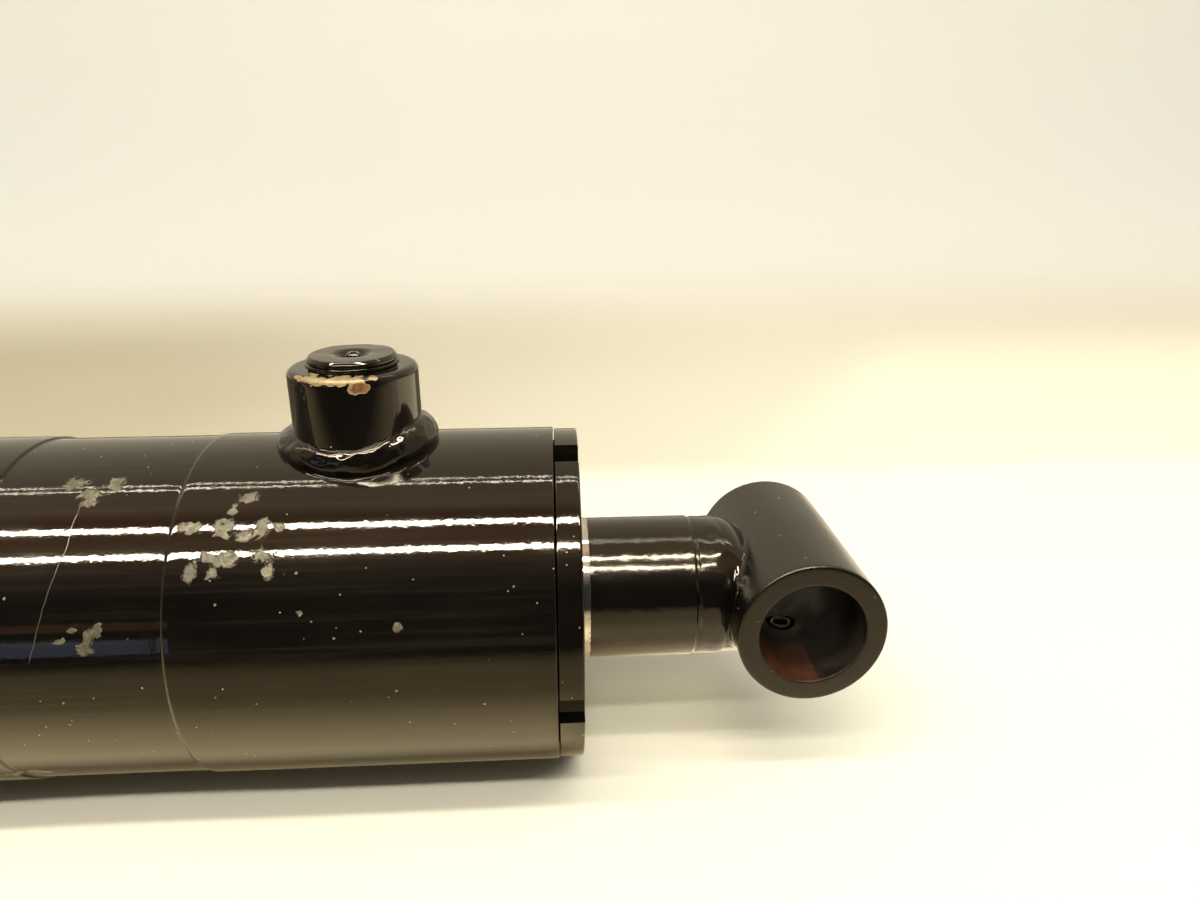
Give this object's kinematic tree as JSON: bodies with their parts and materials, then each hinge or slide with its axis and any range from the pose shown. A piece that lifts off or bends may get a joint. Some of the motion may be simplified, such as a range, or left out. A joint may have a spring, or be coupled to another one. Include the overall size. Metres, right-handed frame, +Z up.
{
  "type": "hydraulic cylinder",
  "caption": "Welded double-acting hydraulic cylinder with a cross tube at each end, plugged ports, screwed gland, chromed rod and sealed piston.",
  "frame": {"origin": "on the ground under the middle of the overall length, below the cylinder's axis", "axes": "+X along the cylinder from the base eye to the rod eye, +Y along the pin bores, +Z up, the way the ports point"},
  "size_m": [0.457, 0.0888, 0.1113],
  "materials": {
    "black_paint": "gloss black enamel, fine orange peel, light chips and scuffs",
    "chrome": "ground and polished hard chrome",
    "turned_steel": "turned or cold-formed steel, oiled",
    "ductile_iron": "turned ductile iron, oiled",
    "nitrile": "moulded black nitrile rubber",
    "urethane": "moulded blue polyurethane",
    "filled_nylon": "machined glass-filled nylon"
  },
  "bodies": {
    "barrel": {"barrel_tube": "black_paint", "base_cap": "black_paint", "base_cap_weld": "black_paint", "base_eye_weld_top": "black_paint", "base_eye_weld_bottom": "black_paint", "head_gland": "black_paint", "base_port_boss": "black_paint", "base_port_weld": "black_paint", "base_port_plug": "black_paint", "head_port_boss": "black_paint", "head_port_weld": "black_paint", "head_port_plug": "black_paint", "base_eye": "black_paint", "base_port_washer": "black_paint", "head_port_washer": "black_paint", "base_eye_grease_fitting": "black_paint", "gland_o_ring": "nitrile", "rod_seal": "urethane", "rod_wiper": "urethane", "gland_backup_ring": "filled_nylon", "rod_wear_ring": "filled_nylon"},
    "piston_packing": {"piston_seal": "filled_nylon", "piston_seal_energizer": "nitrile", "piston_wear_ring_base_side": "filled_nylon", "piston_wear_ring_head_side": "filled_nylon"},
    "rod": {"piston_rod": "chrome", "piston": "ductile_iron", "piston_o_ring": "nitrile", "piston_nut": "turned_steel", "rod_eye_weld": "black_paint", "rod_eye": "black_paint", "rod_eye_grease_fitting": "black_paint"}
  },
  "joints": [
    {"name": "rod_stroke", "type": "slide", "parent": "barrel", "child": "piston_packing", "axis": [1, 0, 0], "range_m": [0, 0.2032]},
    {"name": "rod_turn", "type": "hinge", "parent": "piston_packing", "child": "rod", "pos_m": [0, 0, 0.04435], "axis": [1, 0, 0], "continuous": true}
  ]
}
